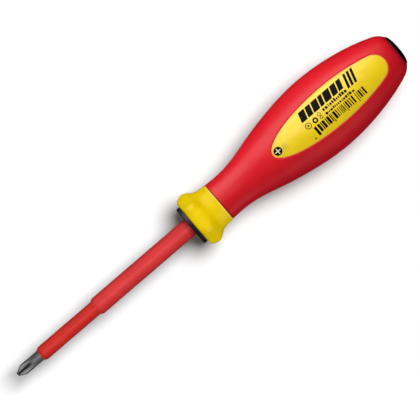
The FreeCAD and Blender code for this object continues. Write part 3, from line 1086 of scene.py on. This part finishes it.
def plate_finish(colours):
    """Satin yellow plastic: a painted soft shadow behind the badge and faint clouds."""
    shader = Shader("plate plastic")
    x, y, _ = shader.parts(shader.position())
    mottle = shader.noise(220.0, 3.0, 0.6)
    peel = shader.noise(1000.0, 2.0, 0.5)
    value = colours.plate_yellow
    # painted shadow of the badge: a soft darkening just behind it, mixed in below
    badge_shadow_x = (x - (DISC_LOW.x - 0.8 * MM)) / (2.5 * MM)
    badge_shadow_y = (y - 0.4 * MM) / (2.2 * MM)
    badge_shadow = ((badge_shadow_x * badge_shadow_x + badge_shadow_y * badge_shadow_y) ** 0.5).fade(1.1, 0.0)
    base = shader.tones(mottle.fade(0.3, 0.7), value, 0.96, 1.03)
    base = shader.mix(badge_shadow * (0.22 + mottle * 0.25), base, (0.30, 0.27, 0.10))
    rough = 0.28 + mottle * 0.08
    return shader.finish(Base_Color=base, Roughness=rough, Specular_IOR_Level=0.8,
                         Normal=shader.bump(peel, 0.08, 0.05 * MM))


def black_finish(name, value, roughness, gloss=0.5):
    """Black moulded plastic with a fine grain and dusty scuffs."""
    shader = Shader(name)
    grain = shader.noise(1800.0, 3.0, 0.6)
    dust = shader.noise(260.0, 4.0, 0.65)
    base = shader.tones(grain.fade(0.35, 0.7), value, 0.8, 1.5)
    base = shader.mix(dust.fade(0.55, 0.8) * (0.6 * gloss), base, (0.05, 0.05, 0.052))
    rough = roughness + grain * 0.1 + dust.fade(0.5, 0.8) * 0.12
    return shader.finish(Base_Color=base, Roughness=rough, Specular_IOR_Level=gloss,
                         Normal=shader.bump(grain, 0.2, 0.03 * MM))


def ink_finish(colours):
    """Printing ink: nearly black, thin in places."""
    shader = Shader("printing ink")
    spots = shader.noise(2400.0, 3.0, 0.6)
    base = shader.mix(spots.fade(0.62, 0.85) * 0.4, colours.ink_black, (0.09, 0.055, 0.01))
    return shader.finish(Base_Color=base, Roughness=0.4 + spots * 0.15, Specular_IOR_Level=0.1,
                         Normal=shader.bump(spots, 0.15, 0.01 * MM))


def cream_finish(colours):
    """Pale ink of the badge's cross."""
    shader = Shader("cream mark")
    spots = shader.noise(2600.0, 3.0, 0.6)
    base = shader.mix(spots.fade(0.4, 0.8) * 0.35, colours.cream, toned(colours.cream, 0.75))
    return shader.finish(Base_Color=base, Roughness=0.4 + spots * 0.1,
                         Normal=shader.bump(spots, 0.1, 0.01 * MM))


def floor_finish():
    """Plain white paper."""
    shader = Shader("white paper")
    fibre = shader.noise(900.0, 3.0, 0.6)
    base = shader.mix(fibre, (0.54, 0.54, 0.54), (0.56, 0.56, 0.56))
    return shader.finish(Base_Color=base, Roughness=0.9, Specular_IOR_Level=0.0)


# ---------------------------------------------------------------- operators

def dress(node, material):
    """Gives a frame node its finish."""
    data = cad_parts[node].data
    data.materials.clear()
    data.materials.append(material)


class SCREWDRIVER_OT_blade(Operator):
    """Finish the steel blade and the hidden core"""
    bl_idname = "screwdriver.blade"
    bl_label = "Blade"

    def execute(self, context):
        colours = context.scene.screwdriver_colours
        dress("steel_blade", steel_finish(colours))
        dress("handle_core", core_finish(colours))
        return {"FINISHED"}


class SCREWDRIVER_OT_sleeves(Operator):
    """Build the two red sleeves that insulate the shaft"""
    bl_idname = "screwdriver.sleeves"
    bl_label = "Sleeves"

    def execute(self, context):
        sizes = context.scene.screwdriver_sizes
        colours = context.scene.screwdriver_colours
        shank = radius_of(node_tree_of("steel_blade"), INNER_HIGH.x, 0)
        # The fourth values below are the strengths of the painted shade in front of each sleeve's
        # joint.
        red = sleeve_finish("front insulation", colours.front_red, OUTER_HIGH.x, 0.08, 0.16)
        front = build_sleeve("front_sleeve", INNER_HIGH, INNER_LOW.x, shank, sizes, red)
        place(front, "front_red", "inner_sleeve")
        red = sleeve_finish("rear insulation", colours.rear_red, RING_HIGH.x, 0.4, 0.2)
        rear = build_sleeve("rear_sleeve", OUTER_HIGH, OUTER_LOW.x, INNER_HIGH.y, sizes, red)
        place(rear, "rear_red", "outer_sleeve")
        return {"FINISHED"}


class SCREWDRIVER_OT_ring(Operator):
    """Build the black ring at the front of the handle"""
    bl_idname = "screwdriver.ring"
    bl_label = "Nose ring"

    def execute(self, context):
        colours = context.scene.screwdriver_colours
        made = build_ring(black_finish("ring plastic", colours.ring_grey, 0.34))
        place(made, "black", "nose_ring")
        return {"FINISHED"}


class SCREWDRIVER_OT_collar(Operator):
    """Build the yellow six-sided guard collar"""
    bl_idname = "screwdriver.collar"
    bl_label = "Guard collar"

    def execute(self, context):
        made = build_collar(collar_finish(context.scene.screwdriver_colours))
        place(made, "yellow", "guard_collar")
        return {"FINISHED"}


class SCREWDRIVER_OT_grip(Operator):
    """Build the soft red grip with its window"""
    bl_idname = "screwdriver.grip"
    bl_label = "Soft grip"

    def execute(self, context):
        sizes = context.scene.screwdriver_sizes
        mesh = GripMesh(Handle(sizes), sizes)
        made = mesh.build(grip_finish(context.scene.screwdriver_colours))
        place(made, "grip_red", "grip_shell")
        return {"FINISHED"}


class SCREWDRIVER_OT_plate(Operator):
    """Build the yellow label plate and its printing"""
    bl_idname = "screwdriver.plate"
    bl_label = "Label plate"

    def execute(self, context):
        sizes = context.scene.screwdriver_sizes
        colours = context.scene.screwdriver_colours
        handle = Handle(sizes)
        plate = build_plate(handle, sizes, plate_finish(colours), rim_finish(colours))
        place(plate, "plate_yellow", "window_plate")
        ink = ink_finish(colours)
        for build in (print_band, print_signs, print_bars):
            place(build(handle, sizes, ink), "badge_black")
        return {"FINISHED"}


class SCREWDRIVER_OT_badge(Operator):
    """Build the round badge and its cross"""
    bl_idname = "screwdriver.badge"
    bl_label = "Type badge"

    def execute(self, context):
        colours = context.scene.screwdriver_colours
        handle = Handle(context.scene.screwdriver_sizes)
        disc = build_badge_disc(handle, black_finish("badge plastic", colours.ink_black, 0.3, 0.1))
        place(disc, "badge_black", "badge_disc")
        place(build_badge_cross(handle, cream_finish(colours)), "badge_cream", "badge_cross")
        return {"FINISHED"}


class SCREWDRIVER_OT_cap(Operator):
    """Build the black cap at the rear end"""
    bl_idname = "screwdriver.cap"
    bl_label = "End cap"

    def execute(self, context):
        colours = context.scene.screwdriver_colours
        made = build_cap(black_finish("cap plastic", colours.black, 0.3))
        place(made, "black", "end_cap")
        return {"FINISHED"}


def only_light(made, lit):
    """Keeps a light off everything but the given objects, as flags do in a studio."""
    receivers = bpy.data.collections.new(made.name + " receivers")
    for thing in lit:
        receivers.objects.link(thing)
    made.light_linking.receiver_collection = receivers
    bpy.context.scene.collection.objects.link(made)


def add_softbox(name, place_at, aim, size, watts, lit, in_gloss=True):
    """A rectangular soft light that looks at a point. Its width lies along the tool."""
    data = bpy.data.lights.new(name, "AREA")
    data.shape = "RECTANGLE"
    data.size, data.size_y = size
    data.energy = watts
    made = bpy.data.objects.new(name, data)
    ahead = (Vector(aim) - Vector(place_at)).normalized()
    along = (Vector((1, 0, 0)) - ahead * ahead.x).normalized()
    across = ahead.cross(along)
    facing = Matrix((along, -across, -ahead)).transposed().to_4x4()
    made.matrix_world = Matrix.Translation(place_at) @ facing
    made.visible_glossy = in_gloss
    only_light(made, lit)


def add_sky_light(name, slope, spread, strength, lit):
    """Even light from a round patch of sky, without a reflection. The slope leans it sideways."""
    data = bpy.data.lights.new(name, "SUN")
    data.angle = spread
    data.energy = strength
    made = bpy.data.objects.new(name, data)
    made.rotation_euler = Vector((slope[0], slope[1], 1.0)).to_track_quat("Z", "Y").to_euler()
    made.visible_glossy = False
    only_light(made, lit)


class SCREWDRIVER_OT_stage(Operator):
    """Set the white floor, the soft lights and the camera"""
    bl_idname = "screwdriver.stage"
    bl_label = "Stage"

    def execute(self, context):
        stage = context.scene.screwdriver_stage
        pieces = [thing for thing in context.scene.objects if thing.type == "MESH"]
        floor = self.add_floor()
        self.add_world(context.scene)
        self.add_lights(stage, pieces, floor)
        self.add_camera(context.scene, stage)
        context.scene.view_settings.view_transform = "Standard"
        return {"FINISHED"}

    def add_floor(self):
        builder = bmesh.new()
        half = 1.5                   # half of the floor's side
        corners = [(-half, -half), (half, -half), (half, half), (-half, half)]
        builder.faces.new([builder.verts.new((x, y, OBJECT_LOW.z)) for x, y in corners])
        floor = add_object("floor", builder, floor_finish())
        floor.visible_glossy = False
        floor.visible_diffuse = False
        return floor

    def add_world(self, scene):
        world = bpy.data.worlds.new("white studio")
        scene.world = world
        world.use_nodes = True
        sky = world.node_tree.nodes["Background"]
        sky.inputs["Color"].default_value = (1.0, 1.0, 1.0, 1.0)
        sky.inputs["Strength"].default_value = 1.0
        world.cycles_visibility.diffuse = False
        world.cycles_visibility.glossy = False

    def add_lights(self, stage, pieces, floor):
        def named(*names):
            return [thing for thing in pieces if thing.name in names]
        sleeves = named("front_sleeve", "rear_sleeve")
        shaft = sleeves + named("steel_blade")
        handle = [thing for thing in pieces if thing not in shaft]
        middle = ((OBJECT_LOW.x + OBJECT_HIGH.x) / 2, 0, 0)
        grip_x = (GRIP_LOW.x + COLLAR_HIGH.x) / 2
        blade_x = (BLADE_HIGH.x + COLLAR_HIGH.x) / 2
        grip, blade, collar = ((x, 0, 0) for x in (grip_x, blade_x, COLLAR_HIGH.x))
        low = (middle[0], 0, OBJECT_LOW.z + 0.5 * MM)
        room_spread, floor_spread = math.radians(160), math.radians(30)
        add_sky_light("room", (0, 0), room_spread, stage.room_power, pieces + [floor])
        for name, place_at, aim, size, watts, lit, in_gloss in (
            ("key", (grip_x, -0.42, 0.29), grip, (0.7, 0.5), stage.key_power, handle, True),
            ("side", (grip_x, 0.6, 0.05), grip, (0.5, 0.3), stage.side_power, handle, False),
            ("top", (grip_x, -0.1, 0.6), grip, (0.4, 0.4), stage.top_power, handle, False),
            ("plate light", (grip_x, -0.15, 0.58), grip, (0.6, 0.16), stage.plate_power,
             named("label_plate"), True),
            ("blade light", (blade_x, 0.02, 0.5), blade, (0.4, 0.3), stage.blade_power, shaft, True),
            ("edge light", (blade_x, -0.45, 0.2), blade, (0.4, 0.07), stage.edge_power, sleeves, True),
            ("collar side", (blade_x, 0.3, 0.25), collar, (0.3, 0.3), stage.collar_power,
             named("finger_guard"), False),
            ("bounce", low, middle, (0.5, 0.3), stage.bounce_power, pieces, False),
        ):
            add_softbox(name, place_at, aim, size, watts, lit, in_gloss)
        add_sky_light("floor light", (-0.36, -0.035), floor_spread, stage.floor_power, [floor])

    def add_camera(self, scene, stage):
        turn = stage.view_turn
        data = bpy.data.cameras.new("camera")
        data.sensor_width = 36.0
        data.lens = stage.lens
        right = Vector((-math.cos(turn), math.sin(turn), 0))
        up = Vector((-math.sin(turn), -math.cos(turn), 0))
        ahead = right.cross(up)
        distance = stage.view_width / 2 / (data.sensor_width / 2 / data.lens)
        camera = bpy.data.objects.new("camera", data)
        camera.matrix_world = Matrix((
            (right.x, up.x, ahead.x, stage.view_middle[0]),
            (right.y, up.y, ahead.y, stage.view_middle[1]),
            (right.z, up.z, ahead.z, distance),
            (0, 0, 0, 1)))
        scene.collection.objects.link(camera)
        scene.camera = camera


class SCREWDRIVER_PT_build(Panel):
    """Lists the pieces in the order that they are built"""
    bl_label = "Insulated screwdriver"
    bl_idname = "SCREWDRIVER_PT_build"
    bl_space_type = "VIEW_3D"
    bl_region_type = "UI"
    bl_category = "Screwdriver"

    def draw(self, context):
        for group in ("screwdriver_sizes", "screwdriver_colours", "screwdriver_stage"):
            owner = getattr(context.scene, group)
            box = self.layout.box()
            for key in owner.bl_rna.properties.keys():
                if key not in ("rna_type", "name"):
                    box.prop(owner, key)
        for operator in OPERATORS:
            self.layout.operator(operator.bl_idname)


GROUPS = {
    "screwdriver_sizes": ScrewdriverSizes,
    "screwdriver_colours": ScrewdriverColours,
    "screwdriver_stage": ScrewdriverStage,
}
OPERATORS = (
    SCREWDRIVER_OT_blade,
    SCREWDRIVER_OT_sleeves,
    SCREWDRIVER_OT_ring,
    SCREWDRIVER_OT_collar,
    SCREWDRIVER_OT_grip,
    SCREWDRIVER_OT_plate,
    SCREWDRIVER_OT_badge,
    SCREWDRIVER_OT_cap,
    SCREWDRIVER_OT_stage,
)


def register():
    for group in GROUPS.values():
        bpy.utils.register_class(group)
    for owner, group in GROUPS.items():
        setattr(bpy.types.Scene, owner, PointerProperty(type=group))
    for operator in OPERATORS:
        bpy.utils.register_class(operator)
    bpy.utils.register_class(SCREWDRIVER_PT_build)


def unregister():
    bpy.utils.unregister_class(SCREWDRIVER_PT_build)
    for operator in reversed(OPERATORS):
        bpy.utils.unregister_class(operator)
    for owner in GROUPS:
        delattr(bpy.types.Scene, owner)
    for group in reversed(list(GROUPS.values())):
        bpy.utils.unregister_class(group)


def main():
    register()
    bpy.ops.screwdriver.blade()
    bpy.ops.screwdriver.sleeves()
    bpy.ops.screwdriver.ring()
    bpy.ops.screwdriver.collar()
    bpy.ops.screwdriver.grip()
    bpy.ops.screwdriver.plate()
    bpy.ops.screwdriver.badge()
    bpy.ops.screwdriver.cap()
    bpy.ops.screwdriver.stage()


if __name__ == "__main__":
    main()
